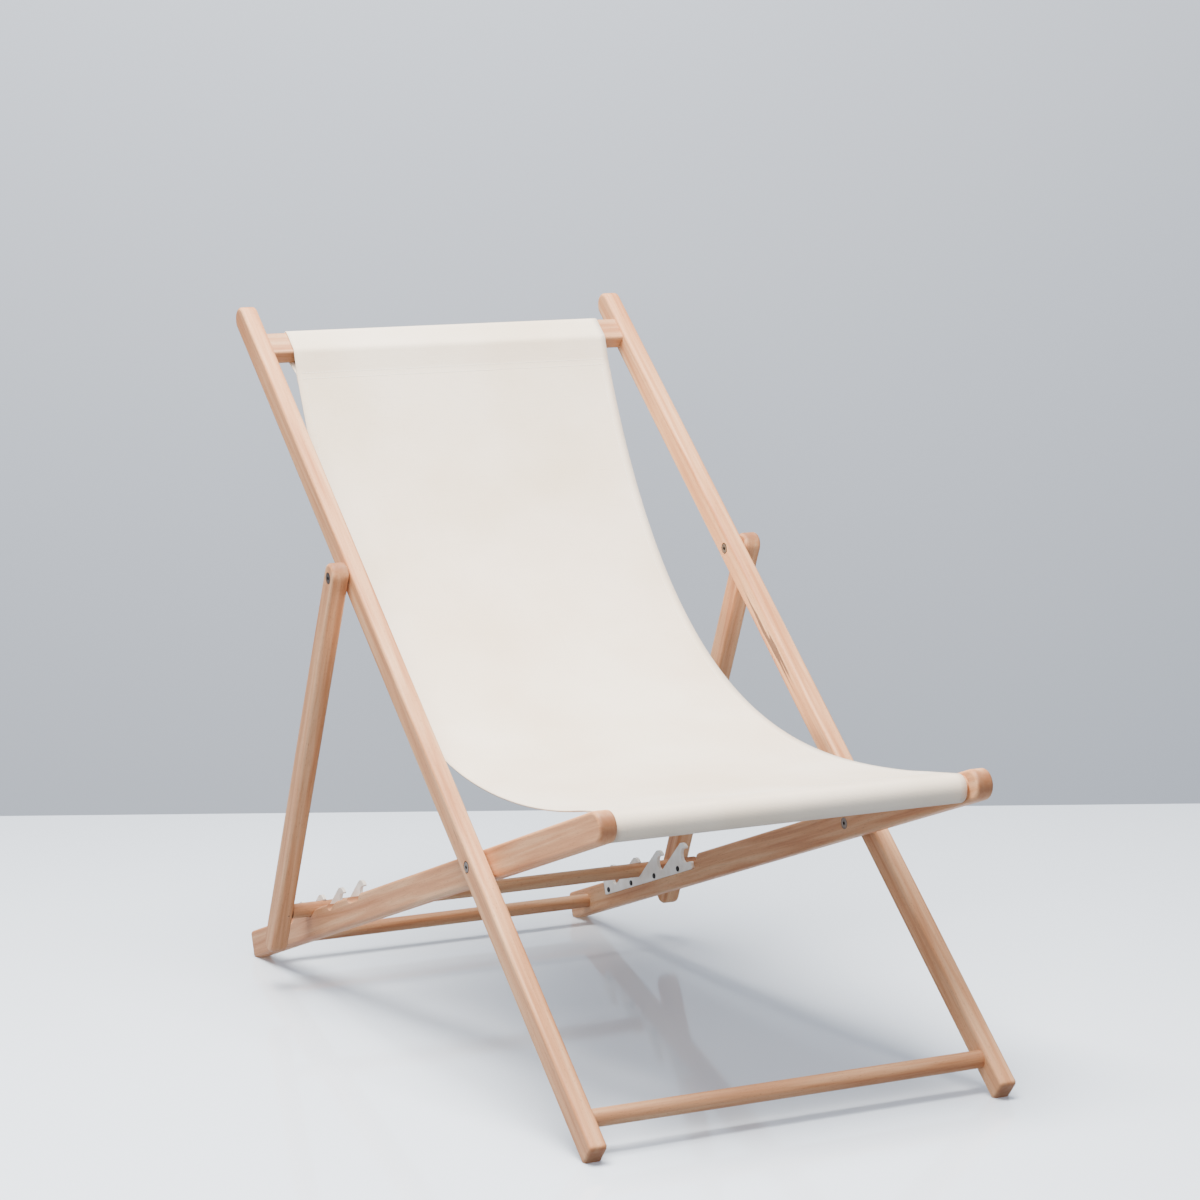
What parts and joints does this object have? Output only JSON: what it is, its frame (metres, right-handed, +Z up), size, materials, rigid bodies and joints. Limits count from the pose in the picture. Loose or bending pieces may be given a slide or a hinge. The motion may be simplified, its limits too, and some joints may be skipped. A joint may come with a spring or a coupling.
{
  "type": "folding deck chair",
  "caption": "Folding wooden deck chair with a canvas sling, notched seat rails and a swinging prop frame; folds flat on two pairs of pivots.",
  "frame": {"origin": "on the ground, midway between the sides and midway between the front-most and rear-most points of the open chair", "axes": "+Z up, the sitter faces -Y, +X is the right side as seen from in front"},
  "size_m": [0.566, 1.025, 0.8354],
  "materials": {
    "beech": "planed beech, clear satin oil",
    "canvas": "plain woven cream cotton canvas",
    "ratchet_plastic": "moulded white plastic, satin",
    "pivot_steel": "zinc plated steel",
    "screw_black": "blackened steel, satin"
  },
  "bodies": {
    "seat_frame": {"seat_rail_left": "beech", "seat_rail_right": "beech", "front_bar": "beech", "rear_dowel": "beech", "ratchet_plate_left": "ratchet_plastic", "ratchet_plate_right": "ratchet_plastic", "ratchet_screws_left": "screw_black", "ratchet_screws_right": "screw_black", "front_bar_brads": "pivot_steel", "rear_dowel_brads": "pivot_steel", "main_pivot_sleeve_left": "pivot_steel", "main_pivot_sleeve_right": "pivot_steel", "main_pivot_screw_left": "pivot_steel", "main_pivot_screw_right": "pivot_steel", "main_pivot_washer_left": "pivot_steel", "main_pivot_washer_right": "pivot_steel", "canvas_sling": "canvas"},
    "back_frame": {"back_rail_left": "beech", "back_rail_right": "beech", "top_bar": "beech", "foot_dowel": "beech", "top_bar_brads": "pivot_steel", "foot_dowel_brads": "pivot_steel"},
    "prop_frame": {"prop_leg_left": "beech", "prop_leg_right": "beech", "prop_crossbar": "beech", "crossbar_brads": "pivot_steel", "prop_pivot_sleeve_left": "pivot_steel", "prop_pivot_sleeve_right": "pivot_steel", "prop_pivot_screw_left": "pivot_steel", "prop_pivot_screw_right": "pivot_steel", "prop_pivot_washer_left": "pivot_steel", "prop_pivot_washer_right": "pivot_steel"}
  },
  "joints": [
    {"name": "fold", "type": "hinge", "parent": "seat_frame", "child": "back_frame", "pos_m": [0, -0.21464, 0.2578], "axis": [-1, 0, 0], "range_deg": [0, 59.4], "deforming": ["canvas_sling"]},
    {"name": "prop_swing", "type": "hinge", "parent": "back_frame", "child": "prop_frame", "pos_m": [0, 0.11189, 0.53913], "axis": [-1, 0, 0], "range_deg": [0, 70]}
  ],
  "couplings": [
    {"joint": "prop_swing", "follows": "fold", "ratio": 1.176}
  ]
}
